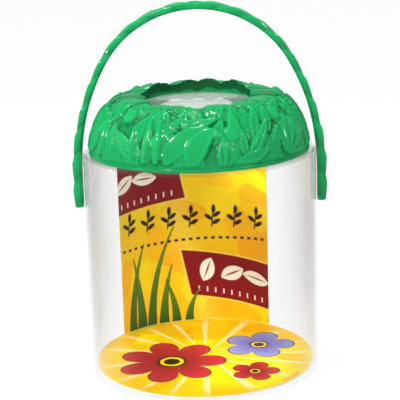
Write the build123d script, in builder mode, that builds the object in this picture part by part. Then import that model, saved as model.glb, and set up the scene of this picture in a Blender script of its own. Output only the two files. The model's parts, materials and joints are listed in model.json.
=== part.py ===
"""Bug catcher jar: clear jar, leafy lid with a magnifier, swinging handle and two printed cards.

Millimetres. The origin is on the floor under the middle of the jar, +Z is up, and the handle's pegs lie
along X.
"""

import math
import os
from itertools import cycle

from build123d import *

os.makedirs("parts", exist_ok=True)

# Jar
jar_radius = 63.5
jar_wall = 1.3
jar_height = 116.0
floor_thickness = 1.8
foot_height = 0.8
foot_width = 4.0
base_edge_round = 0.8

# Shoulder collar and neck
collar_height = 7.5
collar_fit = 0.1
spigot_depth = 5.0
spigot_wall = 1.4
shoulder_thickness = 1.6
shoulder_round = 1.8
neck_inset = 7.1
neck_wall = 1.6
neck_height = 7.4

# Handle pegs on the collar
pivot_drop = 4.0
boss_radius = 3.2
boss_standoff = 0.6
peg_radius = 2.4
peg_length = 3.2
peg_clearance = 0.08
peg_end_gap = 0.2

# Lid dome
lid_ledge = 3.4
lip_height = 1.8
lip_step = 0.7
lid_wall = 1.8
lid_height = 29.3
brow_inset = 8.6
brow_drop = 7.0
side_bulge = 1.6
crest_width = 5.0
rim_droop = 0.3
skirt_clearance = 0.25
skirt_wall = 1.6
skirt_lift = 1.5

# Lens and its seat in the lid
opening_radius = 31.0
lens_depth = 5.8
lens_seat = 2.4
lens_seat_fit = 0.15
lens_edge = 2.5
lens_margin = 0.5
lens_curve = 115.0
lens_tube_wall = 1.6
retainer_height = 3.0
retainer_fit = 0.1

# Leaves of the lid
leaf_rise = 1.2
low_leaf_rise = 0.7
tall_leaf_rise = 2.2
leaf_edge_drop = 0.8
leaf_sink = 1.4
rib_width = 0.9
rib_depth = 0.5

# Handle
strap_thickness = 4.0
strap_width = 10.0
strap_edge_round = 0.9
leg_clearance = 1.5
handle_rise = 81.3
crown_inset = 9.5
spring_drop = 9.0
leg_drop = 27.5
scale_length = 21.0
scale_width = 8.4
scale_tip = 1.8
scale_rise = 0.6
scale_pitch = 15.0
scale_tilt = 1.5

# Printed cards
card_thickness = 0.5
card_gap = 0.3
wrap_height = 106.0
wrap_left = 51.0
wrap_right = 39.0

# Heights and radii that follow from the sizes above
floor_top = foot_height + floor_thickness
jar_bore = jar_radius - jar_wall
shoulder_z = jar_height + collar_height
neck_top = shoulder_z + neck_height
pivot_z = shoulder_z - pivot_drop
boss_face = jar_radius + boss_standoff
peg_tip = boss_face + peg_length
lip_radius = jar_radius - lid_ledge
neck_radius = lip_radius - neck_inset
crest_z = shoulder_z + lid_height
crest_radius = opening_radius + crest_width
lens_top = crest_z - lens_depth
lens_bottom = lens_top - lens_edge
lens_radius = opening_radius + lens_seat
lens_tube_bore = lens_radius + lens_seat_fit


def make_leaf(length, width, tip_round, rise, edge_drop, sink):
    """Leaf lying on XY with its tip at +Y: blunted ends, crowned top and a groove down the middle."""
    half_width = width / 2
    crown = (half_width**2 + edge_drop**2) / (2 * edge_drop)
    with BuildPart() as leaf:
        with BuildSketch(Plane.XY.offset(-sink)):
            with BuildLine():
                ThreePointArc((0, -length / 2), (half_width, 0), (0, length / 2))
                ThreePointArc((0, length / 2), (-half_width, 0), (0, -length / 2))
            outline = make_face()
            fillet(outline.vertices(), tip_round)
        extrude(amount=sink + rise)
        with BuildSketch(Plane.XZ.offset(-length / 2)):
            with Locations((0, rise - crown)):
                Circle(crown)
        extrude(amount=length, mode=Mode.INTERSECT)
        with BuildSketch(Plane.XZ.offset(-length / 2)):
            with BuildLine():
                Polyline(
                    (-rib_width / 2, rise + rib_depth / 2),
                    (0, rise - rib_depth),
                    (rib_width / 2, rise + rib_depth / 2),
                    close=True,
                )
            make_face()
        extrude(amount=length, mode=Mode.SUBTRACT)
    return leaf.part


def on_surface(profile, along, azimuth, twist, tilt):
    """Place of a leaf on a surface of revolution: tip up the profile, turned by twist, tip raised by tilt.

    The profile lies on XY, with the radius along X and the height along Y.
    """
    spot = profile @ along
    rise_way = profile % along
    seat = Plane(origin=(spot.X, 0, spot.Y), x_dir=(0, 1, 0), z_dir=(rise_way.Y, 0, -rise_way.X))
    turn = Location((0, 0, 0), (0, 0, azimuth))
    return turn * seat.location * Location((0, 0, 0), (0, 0, twist)) * Location((0, 0, 0), (tilt, 0, 0))


# Clear jar: straight wall, flat floor raised on a foot ring
with BuildPart() as jar_body:
    Cylinder(jar_radius, jar_height, align=(Align.CENTER, Align.CENTER, Align.MIN))
    fillet(jar_body.edges().sort_by(Axis.Z)[0], base_edge_round)
    with BuildSketch(Plane.XY.offset(floor_top)):
        Circle(jar_bore)
    extrude(amount=jar_height, mode=Mode.SUBTRACT)
    with BuildSketch():
        Circle(jar_radius - foot_width)
    extrude(amount=foot_height, mode=Mode.SUBTRACT)
jar_body.part.label = "jar_body"

# Clear collar: spigot inside the jar's rim, rounded shoulder, neck for the lid and two pegs for the handle
spigot_outer = jar_bore - collar_fit
spigot_inner = spigot_outer - spigot_wall
neck_bore = neck_radius - neck_wall
with BuildPart() as neck_collar:
    with BuildSketch(Plane.XZ):
        with BuildLine():
            Polyline(
                (spigot_outer, jar_height - spigot_depth),
                (spigot_outer, jar_height),
                (jar_radius, jar_height),
                (jar_radius, shoulder_z - shoulder_round),
            )
            RadiusArc(
                (jar_radius, shoulder_z - shoulder_round),
                (jar_radius - shoulder_round, shoulder_z),
                -shoulder_round,
            )
            Polyline(
                (jar_radius - shoulder_round, shoulder_z),
                (neck_radius, shoulder_z),
                (neck_radius, neck_top),
                (neck_bore, neck_top),
                (neck_bore, shoulder_z - shoulder_thickness),
                (spigot_inner, shoulder_z - shoulder_thickness),
                (spigot_inner, jar_height - spigot_depth),
                (spigot_outer, jar_height - spigot_depth),
            )
        make_face()
    revolve(axis=Axis.Z)
    for side in (1, -1):
        peg_root = Plane(origin=(side * spigot_outer, 0, pivot_z), z_dir=(side, 0, 0))
        with BuildSketch(peg_root):
            Circle(boss_radius)
        extrude(amount=boss_face - spigot_outer)
        with BuildSketch(peg_root):
            Circle(peg_radius)
        extrude(amount=peg_tip - spigot_outer)
neck_collar.part.label = "neck_collar"

# Smooth profile of the lid, radius along X and height along Y: up the side, over the brow, in to the opening
with BuildLine() as lid_profile:
    lid_side = SagittaArc(
        (lip_radius - lip_step, shoulder_z + lip_height),
        (lip_radius - brow_inset, crest_z - brow_drop),
        -side_bulge,
    )
    lid_brow = TangentArc(lid_side @ 1, (crest_radius, crest_z), tangent=lid_side % 1)
    lid_rim = Line(lid_brow @ 1, (opening_radius, crest_z - rim_droop))


def inset(profile, along):
    """Point of the lid's profile moved in by the lid's wall."""
    rise_way = profile % along
    return profile @ along - Vector(rise_way.Y, -rise_way.X) * lid_wall


def rise_to_lid(radius, foot):
    """Upright line from a foot up to the lid's smooth profile."""
    return IntersectingLine((radius, foot), (0, 1), lid_profile.line, mode=Mode.PRIVATE)


# Leaves in six kinds, and the rows that they make round the lid. Those at the back of the rim stand taller
broad_leaf = make_leaf(22.0, 16.0, 3.0, leaf_rise, leaf_edge_drop, leaf_sink)
blade_leaf = make_leaf(23.0, 6.5, 1.0, leaf_rise, leaf_edge_drop, leaf_sink)
small_leaf = make_leaf(13.5, 10.0, 1.8, leaf_rise, leaf_edge_drop, leaf_sink)
brow_leaf = make_leaf(11.5, 9.5, 2.2, leaf_rise, leaf_edge_drop, leaf_sink)
low_rim_leaf = make_leaf(17.0, 15.5, 4.0, low_leaf_rise, leaf_edge_drop, leaf_sink)
tall_rim_leaf = make_leaf(17.0, 15.5, 4.0, tall_leaf_rise, leaf_edge_drop, leaf_sink)
rim_kinds = (low_rim_leaf,) * 2 + (tall_rim_leaf,) * 3 + (low_rim_leaf,) * 6
leaf_rows = (
    dict(profile=lid_side, along=0.42, kinds=(broad_leaf, blade_leaf), count=20, twist=15, tilt=2.0),
    dict(profile=lid_side, along=0.86, kinds=(small_leaf,), count=21, twist=24, tilt=2.5),
    dict(profile=lid_brow, along=0.40, kinds=(brow_leaf,), count=23, twist=20, tilt=2.0),
    dict(profile=lid_rim, along=0.30, kinds=rim_kinds, count=len(rim_kinds), twist=10, tilt=-1.0),
)
lid_leaves = []
for row in leaf_rows:
    for index, kind in zip(range(row["count"]), cycle(row["kinds"])):
        swing = row["twist"] * math.sin(2.4 * index + row["count"])
        azimuth = 360 * index / row["count"]
        place = on_surface(row["profile"], row["along"], azimuth, swing, row["tilt"])
        lid_leaves.append(kind.moved(place))

# Green lid: thin dome on a plain lip, a skirt for the neck and a tube for the lens
skirt_bore = neck_radius + skirt_clearance
skirt_outer = skirt_bore + skirt_wall
skirt_foot = shoulder_z + skirt_lift
tube_outer = lens_tube_bore + lens_tube_wall
tube_foot = lens_bottom - retainer_height
with BuildPart() as lid_dome:
    add(lid_leaves)
    with BuildSketch(Plane.XY.offset(shoulder_z + lip_height)):
        Circle(jar_radius)
    extrude(amount=-lid_height, mode=Mode.SUBTRACT)
    with BuildSketch(Plane.XZ):
        with BuildLine():
            add(lid_profile.line)
            Polyline(
                lid_rim @ 1,
                (opening_radius, lens_top),
                (lens_tube_bore, lens_top),
                (lens_tube_bore, tube_foot),
                (tube_outer, tube_foot),
                (tube_outer, crest_z - lid_wall),
                inset(lid_brow, 1),
            )
            ThreePointArc(inset(lid_brow, 1), inset(lid_brow, 0.5), inset(lid_brow, 0))
            ThreePointArc(inset(lid_side, 1), inset(lid_side, 0.5), inset(lid_side, 0))
            Polyline(
                inset(lid_side, 0),
                (lip_radius - lip_step - lid_wall, shoulder_z),
                (lip_radius, shoulder_z),
                (lip_radius, shoulder_z + lip_height),
                lid_side @ 0,
            )
        make_face()
    revolve(axis=Axis.Z)
    with BuildSketch(Plane.XZ):
        with BuildLine():
            inner_rise = rise_to_lid(skirt_bore, skirt_foot)
            outer_rise = rise_to_lid(skirt_outer, skirt_foot)
            Polyline(
                inner_rise @ 0,
                outer_rise @ 0,
                outer_rise @ 1 - Vector(0, lid_wall),
                inner_rise @ 1 - Vector(0, lid_wall),
                close=True,
            )
        make_face()
    revolve(axis=Axis.Z)
lid_dome.part.label = "lid_dome"

# Clear lens: two equal domes on a flat flange
lens_dome_radius = opening_radius - lens_margin
lens_sag = lens_curve - math.sqrt(lens_curve**2 - lens_dome_radius**2)
with BuildPart() as magnifier_lens:
    with BuildSketch(Plane.XZ):
        with BuildLine():
            Polyline(
                (lens_dome_radius, lens_top),
                (lens_radius, lens_top),
                (lens_radius, lens_bottom),
                (lens_dome_radius, lens_bottom),
            )
            RadiusArc((lens_dome_radius, lens_bottom), (0, lens_bottom - lens_sag), lens_curve)
            Line((0, lens_bottom - lens_sag), (0, lens_top + lens_sag))
            RadiusArc((0, lens_top + lens_sag), (lens_dome_radius, lens_top), lens_curve)
        make_face()
    revolve(axis=Axis.Z)
magnifier_lens.part.label = "magnifier_lens"

# Green ring that keeps the lens up against its seat
with BuildPart() as lens_retainer:
    with BuildSketch(Plane.XY.offset(tube_foot)):
        Circle(lens_tube_bore - retainer_fit)
        Circle(opening_radius, mode=Mode.SUBTRACT)
    extrude(amount=retainer_height)
lens_retainer.part.label = "lens_retainer"

# Centre line of the handle, from the foot of one leg up over the crown to the other
leg_x = jar_radius + leg_clearance + strap_thickness / 2
crown_radius = leg_x - crown_inset
crown_z = pivot_z + handle_rise
spring_z = pivot_z - spring_drop
crown_centre_z = crown_z - crown_radius
centre_rise = crown_centre_z - spring_z
haunch_radius = (leg_x**2 + centre_rise**2 - crown_radius**2) / (2 * crown_inset)
crown_share = crown_radius / (haunch_radius - crown_radius)
haunch_end = ((haunch_radius - leg_x) * crown_share, crown_centre_z + centre_rise * crown_share)
with BuildLine(Plane.XZ) as half_path:
    leg = Line((leg_x, pivot_z - leg_drop), (leg_x, spring_z))
    haunch = TangentArc(leg @ 1, haunch_end, tangent=leg % 1)
    TangentArc(haunch @ 1, (0, crown_z), tangent=haunch % 1)
half_wire = half_path.wire()
with BuildLine() as handle_path:
    add(half_path.line)
    mirror(about=Plane.YZ)
handle_wire = handle_path.wire()

# Leaf-shaped scales that overlap up the outside of the strap
scale = make_leaf(scale_length, scale_width, scale_tip, scale_rise, scale_rise, strap_thickness / 2)
scale_run = half_wire.length - scale_length - strap_edge_round
scale_count = round(scale_run / scale_pitch) + 1
strap_scales = []
for index in range(scale_count):
    reach = strap_edge_round + scale_length / 2 + scale_run * index / (scale_count - 1)
    along = reach / half_wire.length
    way = half_wire % along
    outward = Vector(way.Z, 0, -way.X)
    seat = Plane(half_wire @ along + outward * strap_thickness / 2, x_dir=(0, 1, 0), z_dir=outward)
    strap_scales.append(scale.moved(seat.location * Location((0, 0, 0), (scale_tilt, 0, 0))))

# Green handle: one bent strap with rounded feet, scales outside and a blind hole in each leg for its peg
with BuildPart() as carry_handle:
    with BuildSketch(Plane(handle_wire @ 0, x_dir=(0, 1, 0), z_dir=handle_wire % 0)):
        Rectangle(strap_width, strap_thickness)
    sweep(path=handle_wire)
    fillet(carry_handle.edges().filter_by(Axis.X), strap_width / 2 - strap_edge_round)
    fillet(carry_handle.edges().filter_by(lambda edge: edge.length > strap_width), strap_edge_round)
    add(strap_scales)
    mirror(strap_scales, about=Plane.YZ)
    for side in (1, -1):
        with BuildSketch(Plane(origin=(side * jar_radius, 0, pivot_z), z_dir=(side, 0, 0))):
            Circle(peg_radius + peg_clearance)
        extrude(amount=peg_tip + peg_end_gap - jar_radius, mode=Mode.SUBTRACT)
carry_handle.part.label = "carry_handle"

# Printed cards: a disc on the floor and a curved sheet that stands on it against the back wall
card_radius = jar_bore - card_gap
with BuildPart() as base_card:
    with BuildSketch(Plane.XY.offset(floor_top)):
        Circle(card_radius)
    extrude(amount=card_thickness)
base_card.part.label = "base_card"

with BuildPart() as wrap_card:
    with BuildSketch(Plane.XY.offset(floor_top + card_thickness)):
        with BuildLine():
            CenterArc((0, 0), card_radius - card_thickness / 2, 90 - wrap_right, wrap_right + wrap_left)
        trace(line_width=card_thickness)
    extrude(amount=wrap_height)
wrap_card.part.label = "wrap_card"

for piece in (
    jar_body,
    neck_collar,
    lid_dome,
    magnifier_lens,
    lens_retainer,
    carry_handle,
    base_card,
    wrap_card,
):
    export_step(piece.part, f"parts/{piece.part.label}.step")
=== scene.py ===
"""Looks of the bug catcher jar: leafy lid and handle, clear jar and lens, cards, studio and camera."""

import json
import math

import bmesh
import bpy
import numpy as np
from mathutils import Matrix, Vector


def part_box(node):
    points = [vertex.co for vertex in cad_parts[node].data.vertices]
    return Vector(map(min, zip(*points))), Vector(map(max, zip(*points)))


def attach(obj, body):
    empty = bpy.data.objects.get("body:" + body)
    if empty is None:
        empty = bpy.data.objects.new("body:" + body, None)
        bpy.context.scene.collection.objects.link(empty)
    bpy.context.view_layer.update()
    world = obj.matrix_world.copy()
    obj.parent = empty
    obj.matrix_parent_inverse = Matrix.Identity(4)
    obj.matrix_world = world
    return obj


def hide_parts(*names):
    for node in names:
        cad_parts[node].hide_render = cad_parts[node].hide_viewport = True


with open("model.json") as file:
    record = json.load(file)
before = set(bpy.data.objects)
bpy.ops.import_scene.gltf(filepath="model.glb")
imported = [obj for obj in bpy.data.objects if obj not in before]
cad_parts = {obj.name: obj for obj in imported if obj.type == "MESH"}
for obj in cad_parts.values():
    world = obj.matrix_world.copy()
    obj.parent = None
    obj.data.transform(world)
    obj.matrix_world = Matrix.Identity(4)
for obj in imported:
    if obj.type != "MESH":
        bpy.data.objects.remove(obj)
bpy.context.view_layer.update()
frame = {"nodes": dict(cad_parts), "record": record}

MM = 0.001

# Places read from the frame, in millimetres
JAR_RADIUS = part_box("jar_body")[1][0] / MM
LIP_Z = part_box("lid_dome")[0][2] / MM
FLOOR_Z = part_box("base_card")[0][2] / MM
CARD_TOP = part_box("base_card")[1][2] / MM
CARD_HALF = (CARD_TOP - FLOOR_Z) / 2
WALL_CARD_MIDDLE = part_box("wrap_card")[1][1] / MM - CARD_HALF
NECK_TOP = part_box("neck_collar")[1][2] / MM
PEG_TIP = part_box("neck_collar")[1][0] / MM
LENS_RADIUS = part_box("magnifier_lens")[1][0] / MM
HANDLE_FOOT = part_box("carry_handle")[0][2] / MM
PIVOT_Z = frame["record"]["behaviour"]["joints"][0]["pos_m"][2] / MM

# Shader writing

# Sockets that the Mix node uses for colours
MIX_FACTOR, MIX_FIRST, MIX_SECOND, MIX_RESULT = 0, 6, 7, 2


class Wire:
    """A shader socket that takes part in Python sums. Each operation adds one Math node."""

    def __init__(self, finish, socket):
        self.finish = finish
        self.socket = socket

    def math(self, operation, *others):
        return self.finish.math(operation, self, *others)

    def __add__(self, other):
        return self.math("ADD", other)

    def __sub__(self, other):
        return self.math("SUBTRACT", other)

    def __rsub__(self, other):
        return self.finish.math("SUBTRACT", other, self)

    def __mul__(self, other):
        return self.math("MULTIPLY", other)

    def __truediv__(self, other):
        return self.math("DIVIDE", other)

    def __pow__(self, other):
        return self.math("POWER", other)

    def __mod__(self, other):
        return self.math("FLOORED_MODULO", other)

    def __abs__(self):
        return self.math("ABSOLUTE")

    def __neg__(self):
        return self.math("MULTIPLY", -1.0)

    __radd__ = __add__
    __rmul__ = __mul__


class Finish:
    """The nodes of a material or a world, written from places on it to its surface."""

    def __init__(self, owner, output="ShaderNodeOutputMaterial"):
        self.owner = owner
        owner.use_nodes = True
        self.tree = owner.node_tree
        self.tree.nodes.clear()
        self.output = self.tree.nodes.new(output)

    def node(self, kind, sockets=None, out=0, **settings):
        """Any node: its settings are set first, then the values or links of its sockets."""
        node = self.tree.nodes.new(kind)
        for key, value in settings.items():
            setattr(node, key, value)
        for key, value in (sockets or {}).items():
            if isinstance(value, Wire):
                self.tree.links.new(value.socket, node.inputs[key])
            else:
                node.inputs[key].default_value = value
        return Wire(self, node.outputs[out])

    def math(self, operation, *values):
        return self.node("ShaderNodeMath", dict(enumerate(values)), operation=operation)

    def clamp(self, value):
        """A value held between 0 and 1."""
        return self.node("ShaderNodeClamp", {"Value": value})

    def inside(self, distance, soft):
        """1 where a signed distance is below zero, 0 outside, with an edge as wide as soft."""
        return self.clamp(0.5 - distance / soft)

    def mix(self, factor, first, second):
        """Mix of two colours."""
        sockets = {MIX_FACTOR: factor, MIX_FIRST: first, MIX_SECOND: second}
        return self.node("ShaderNodeMix", sockets, out=MIX_RESULT, data_type="RGBA")

    def over(self, colour, distance, soft, paint):
        """A colour with another laid over it where a signed distance is below zero."""
        return self.mix(self.inside(distance, soft), colour, paint)

    def coordinates(self):
        """Places on the surface in the piece's own frame, in metres."""
        return self.node("ShaderNodeTexCoord", out="Object")

    def place(self, coordinates):
        """X, Y and Z of such places, in millimetres."""
        split = self.node("ShaderNodeSeparateXYZ", {0: coordinates})
        return [Wire(self, output) * (1 / MM) for output in split.socket.node.outputs]

    def noise(self, coordinates, per_metre, detail):
        """Soft marks, so many to a metre."""
        sockets = {"Vector": coordinates, "Scale": per_metre, "Detail": detail}
        return self.node("ShaderNodeTexNoise", sockets, out="Fac")

    def facing(self):
        """0 where the surface faces the eye, 1 where it has turned away."""
        return self.node("ShaderNodeLayerWeight", {"Blend": 0.5}, out="Facing")

    def principled(self, sockets):
        return self.node("ShaderNodeBsdfPrincipled", sockets)

    def blend(self, factor, first, second):
        """Mix of two shaders."""
        return self.node("ShaderNodeMixShader", {0: factor, 1: first, 2: second})

    def surface(self, shader):
        """Sends a shader to the surface, and gives the finished material or world."""
        self.tree.links.new(shader.socket, self.output.inputs["Surface"])
        return self.owner


def new_finish(name):
    """Nodes for a new material."""
    return Finish(bpy.data.materials.new(name))


def ink(red, green, blue):
    """Linear colour from 0 to 255 display values, by the sRGB curve."""
    parts = [value / 255 for value in (red, green, blue)]
    return [v / 12.92 if v <= 0.04045 else ((v + 0.055) / 1.055) ** 2.4 for v in parts] + [1.0]


# Plastics

# Marks in a surface: how many to a metre, and their detail
FLOW_MARKS = (45.0, 3.0)
GRAIN_MARKS = (1400.0, 2.0)
WIPE_MARKS = (30.0, 4.0)
FIBRE_MARKS = (2500.0, 2.0)

# Green plastic: a shaded and a lit ink for its painted shade, and what that painted shade and the flow
# marks add to its tone, bump and roughness
SHADED_HOLLOW_GREEN = ink(0, 56, 28)
LIT_RAISED_GREEN = ink(1, 152, 82)
PAINTED_SHADE_WEIGHT = 0.9
FLOW_TONE = 0.3
FLOW_BUMP = 2.0
GREEN_ROUGHNESS = 0.3
FLOW_ROUGHNESS = 0.15
GLOSS_FALL = 1.7


def leaf_green_plastic():
    """Glossy moulded green plastic with painted shade, darker in the hollows and lighter on raised leaves,
    and faint flow marks.
    """
    finish = new_finish("leaf_green")
    coordinates = finish.coordinates()
    painted_shade = finish.node("ShaderNodeAttribute", out="Fac", attribute_name="painted_shade")
    flow = finish.noise(coordinates, *FLOW_MARKS)
    grain = finish.noise(coordinates, *GRAIN_MARKS)
    # Tone: painted shade carried by each point, mixed with random flow marks
    tone = finish.clamp(painted_shade * PAINTED_SHADE_WEIGHT + flow * FLOW_TONE)
    bump = {"Strength": 0.05, "Distance": 0.0002, "Height": grain + flow * FLOW_BUMP}
    shader = finish.principled(
        {
            "Base Color": finish.mix(tone, SHADED_HOLLOW_GREEN, LIT_RAISED_GREEN),
            "Roughness": GREEN_ROUGHNESS + flow * FLOW_ROUGHNESS,
            "Specular IOR Level": 0.02,
            "Coat Weight": (1 - finish.facing()) ** GLOSS_FALL,
            "Coat Roughness": 0.045,
            "Coat IOR": 1.32,
            "Normal": finish.node("ShaderNodeBump", bump),
        }
    )
    return finish.surface(shader)


# Clear wall: tints, the veil's share where it faces the eye and where it turns away, low down, and the
# painted shade that adds to it higher up
WALL_TINT = (0.99, 0.992, 0.992, 1.0)
WALL_GREY = (0.16, 0.16, 0.16, 1.0)
WALL_ROUGHNESS = 0.03
WIPE_ROUGHNESS = 0.05
VEIL_FACING = 0.004
VEIL_AWAY = 0.1
PAINTED_SHADE_HIGH_UP = 0.36
PAINTED_SHADE_HEIGHT_MM = 80.0
VEIL_FALL = 2.5
MIRROR_TINT = (0.96, 0.97, 0.97, 1.0)
MIRROR_SHARE = 0.8
MIRROR_FALL = 5.0


def clear_wall():
    """Thin clear plastic, seen straight through, with a grey veil and a mirror where it turns away, and
    painted shade that greys the veil more higher up.
    """
    finish = new_finish("clear_plastic")
    coordinates = finish.coordinates()
    _, _, z = finish.place(coordinates)
    wipe = finish.noise(coordinates, *WIPE_MARKS)
    away = finish.facing()
    see_through = finish.node("ShaderNodeBsdfTransparent", {"Color": WALL_TINT})
    roughness = WALL_ROUGHNESS + wipe * WIPE_ROUGHNESS
    veil = finish.principled({"Base Color": WALL_GREY, "Roughness": roughness, "IOR": 1.5})
    # Painted shade: the grey veil grows stronger higher up the wall
    high = finish.clamp(z / PAINTED_SHADE_HEIGHT_MM)
    share = VEIL_FACING + (VEIL_AWAY + PAINTED_SHADE_HIGH_UP * high) * away**VEIL_FALL
    wall = finish.blend(share, see_through, veil)
    mirror = finish.node("ShaderNodeBsdfGlossy", {"Color": MIRROR_TINT, "Roughness": 0.02})
    return finish.surface(finish.blend(MIRROR_SHARE * away**MIRROR_FALL, wall, mirror))


# Lens: tints, green in part as painted reflection of the green lid, and the veil's share where it faces the
# eye and where it turns away
LENS_GREEN_REFLECTION_TINT = (0.88, 0.95, 0.91, 1.0)
LENS_GREEN_REFLECTION_VEIL = (0.42, 0.52, 0.45, 1.0)
LENS_ROUGHNESS = 0.03
LENS_VEIL_FACING = 0.1
LENS_VEIL_AWAY = 0.5
LENS_VEIL_FALL = 2.0


def lens_plastic():
    """Clear acrylic of the magnifier, which lets the lamps through, with a pale veil; acrylic and veil are
    tinted green in part as painted reflection of the green lid.
    """
    finish = new_finish("lens_acrylic")
    roughness = LENS_ROUGHNESS * finish.noise(finish.coordinates(), *WIPE_MARKS)
    glass = finish.principled(
        {"Base Color": LENS_GREEN_REFLECTION_TINT, "Roughness": roughness, "IOR": 1.45, "Transmission Weight": 1.0}
    )
    veil = finish.principled({"Base Color": LENS_GREEN_REFLECTION_VEIL, "Roughness": 0.06})
    share = LENS_VEIL_FACING + LENS_VEIL_AWAY * finish.facing() ** LENS_VEIL_FALL
    acrylic = finish.blend(share, glass, veil)
    open_air = finish.node("ShaderNodeBsdfTransparent", {"Color": LENS_GREEN_REFLECTION_TINT})
    lamp_ray = finish.node("ShaderNodeLightPath", out="Is Shadow Ray")
    return finish.surface(finish.blend(lamp_ray, acrylic, open_air))


# Meshes

def grid_mesh(name, rows, painted_shade=None):
    """Closed skin over a grid of points: rows go round one way, columns the other, and both close."""
    across, around, _ = rows.shape
    index = np.arange(across * around).reshape(across, around)
    after = np.roll(index, -1, axis=0)
    quads = np.stack([index, np.roll(index, -1, axis=1), np.roll(after, -1, axis=1), after], axis=-1)
    mesh = bpy.data.meshes.new(name)
    mesh.vertices.add(across * around)
    mesh.vertices.foreach_set("co", (rows * MM).ravel())
    mesh.loops.add(quads.size)
    mesh.loops.foreach_set("vertex_index", quads.ravel())
    mesh.polygons.add(across * around)
    mesh.polygons.foreach_set("loop_start", np.arange(0, quads.size, 4))
    mesh.update(calc_edges=True)
    mesh.validate()
    mesh.shade_smooth()
    # Each point's tone of painted shade, which the green plastic reads
    if painted_shade is not None:
        attribute = mesh.attributes.new("painted_shade", "FLOAT", "POINT")
        attribute.data.foreach_set("value", painted_shade.ravel())
    piece = bpy.data.objects.new(name, mesh)
    bpy.context.scene.collection.objects.link(piece)
    return piece


def bezier(start, control, end, count):
    """Points along a curve bent towards one control point, without its end."""
    t = np.linspace(0, 1, count, endpoint=False)[:, None]
    start, control, end = np.array(start), np.array(control), np.array(end)
    return (1 - t) ** 2 * start + 2 * t * (1 - t) * control + t**2 * end


# Most of an edge that the round of a corner may take
ROUND_SHARE = 0.4


def softened(corners, radius):
    """Closed outline with each corner cut by a small three-point round."""
    points = []
    for before, corner, after in zip(corners[-1:] + corners[:-1], corners, corners[1:] + corners[:1]):
        corner = np.array(corner)
        ways = [np.array(other) - corner for other in (before, after)]
        lengths = [np.linalg.norm(way) for way in ways]
        cut = min(radius, *(ROUND_SHARE * length for length in lengths))
        first, last = (corner + way / length * cut for way, length in zip(ways, lengths))
        points += [first, 0.5 * corner + 0.25 * (first + last), last]
    return np.array(points)


def spun(name, outline, count):
    """Solid of revolution about Z from a closed outline of (radius, height) points."""
    angle = np.linspace(0, 2 * math.pi, count, endpoint=False)
    radius, height = outline[:, :1], outline[:, 1:]
    rows = [radius * np.cos(angle), radius * np.sin(angle), height + 0 * angle]
    return grid_mesh(name, np.stack(rows, axis=-1))


# Leaves of the lid

# Leaves of the front: bearing and height of the root, heading, bend, length, width, kind and rise
FRONT_LEAVES = (
    (-17, 1.5, 14, 100, 37, 12.5, "arch", 1.25),
    (-4, 0.5, 2, 66, 25, 12.5, "arch", 1.5),
    (-5, 20.0, 58, 24, 16, 6.5, "broad", 1.1),
    (-22, 1.5, -2, 8, 27, 6.2, "blade", 1.3),
    (-29, 1.5, 9, -16, 29, 6.2, "blade", 1.2),
    (-36, 1.5, -8, 12, 23, 5.4, "blade", 1.1),
    (-35, 4.0, -52, 26, 17, 9.5, "broad", 1.35),
    (-52, 3.0, -6, 14, 19, 8.5, "broad", 1.2),
    (-62, 1.5, 10, -24, 27, 7.0, "blade", 1.1),
    (-72, 2.0, -14, 18, 22, 12.0, "broad", 1.1),
    (-46, 21.5, 24, 0, 9, 9.0, "bud", 1.0),
    (-38, 25.0, -28, 0, 11, 7.0, "broad", 1.0),
    (-27, 21.5, 16, 12, 13, 6.5, "broad", 1.15),
    (-18, 23.0, -20, 0, 10, 6.0, "broad", 1.0),
    (2, 23.5, -30, 0, 13, 8.0, "broad", 1.0),
    (10, 24.0, 22, 10, 13, 7.5, "fern", 1.0),
    (-9, 26.0, 12, 0, 11, 8.0, "broad", 0.95),
    (24, 5.0, -14, 24, 15, 7.0, "broad", 1.15),
    (13, 1.5, 0, -6, 21, 3.6, "blade", 1.1),
    (17, 2.0, 10, -14, 21, 7.0, "broad", 1.0),
    (20, 10.5, -4, 10, 20, 8.5, "broad", 1.3),
    (30, 12.5, 12, 10, 19, 8.5, "broad", 1.25),
    (40, 15.0, 8, 16, 17, 7.5, "broad", 1.15),
    (25, 4.0, 46, -16, 25, 8.0, "broad", 1.35),
    (17, -1.0, 62, 16, 23, 8.5, "arch", 1.2),
    (50, 2.0, 34, 0, 21, 20.0, "fan", 1.25),
    (44, 22.0, 52, 10, 19, 9.5, "fern", 1.1),
    (50, 20.0, 0, 0, 9, 9.0, "bud", 1.0),
    (66, 4.0, 6, 12, 30, 11.0, "fern", 1.1),
    (78, 1.5, -8, 0, 23, 14.0, "broad", 1.15),
)
# Bearing of the front, and how far to each side of it the front leaves go, in degrees
FRONT_BEARING = -90
FRONT_REACH = 82
# Rows that fill the lid: height of the roots, count, length, width, heading swing, rise and kinds
FILL_ROWS = (
    (-3.0, 24, 17, 13.0, 26, 0.75, ("broad", "fan", "broad")),
    (3.0, 27, 19, 9.0, 30, 0.85, ("broad", "blade", "fern")),
    (11.0, 25, 16, 9.5, 34, 0.9, ("broad", "broad", "bud")),
    (18.5, 24, 14, 9.0, 36, 0.85, ("broad", "fern")),
    (25.5, 21, 12, 8.5, 30, 0.7, ("broad",)),
)
# Larger leaves that stand over the fill, away from the front
BOLD_ROWS = (
    (1.5, 11, 25, 14.5, 20, 1.2, ("broad", "blade", "fan", "broad")),
    (12.0, 12, 21, 9.5, 26, 1.2, ("fern", "broad", "broad")),
    (22.0, 10, 13, 9.5, 24, 1.1, ("broad", "bud", "fern")),
)
# How far the leaves of a row differ, and the pace of that from one leaf to the next
BEARING_SWAY, BEARING_PACE = 0.31, 2.1
HEADING_PACE = 2.4
BEND_SWAY, BEND_PACE = 18, 1.3
SIZE_SWAY, SIZE_PACE = 0.16, 3.7
ROOT_SWAY, ROOT_PACE = 2.0, 5.1
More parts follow.
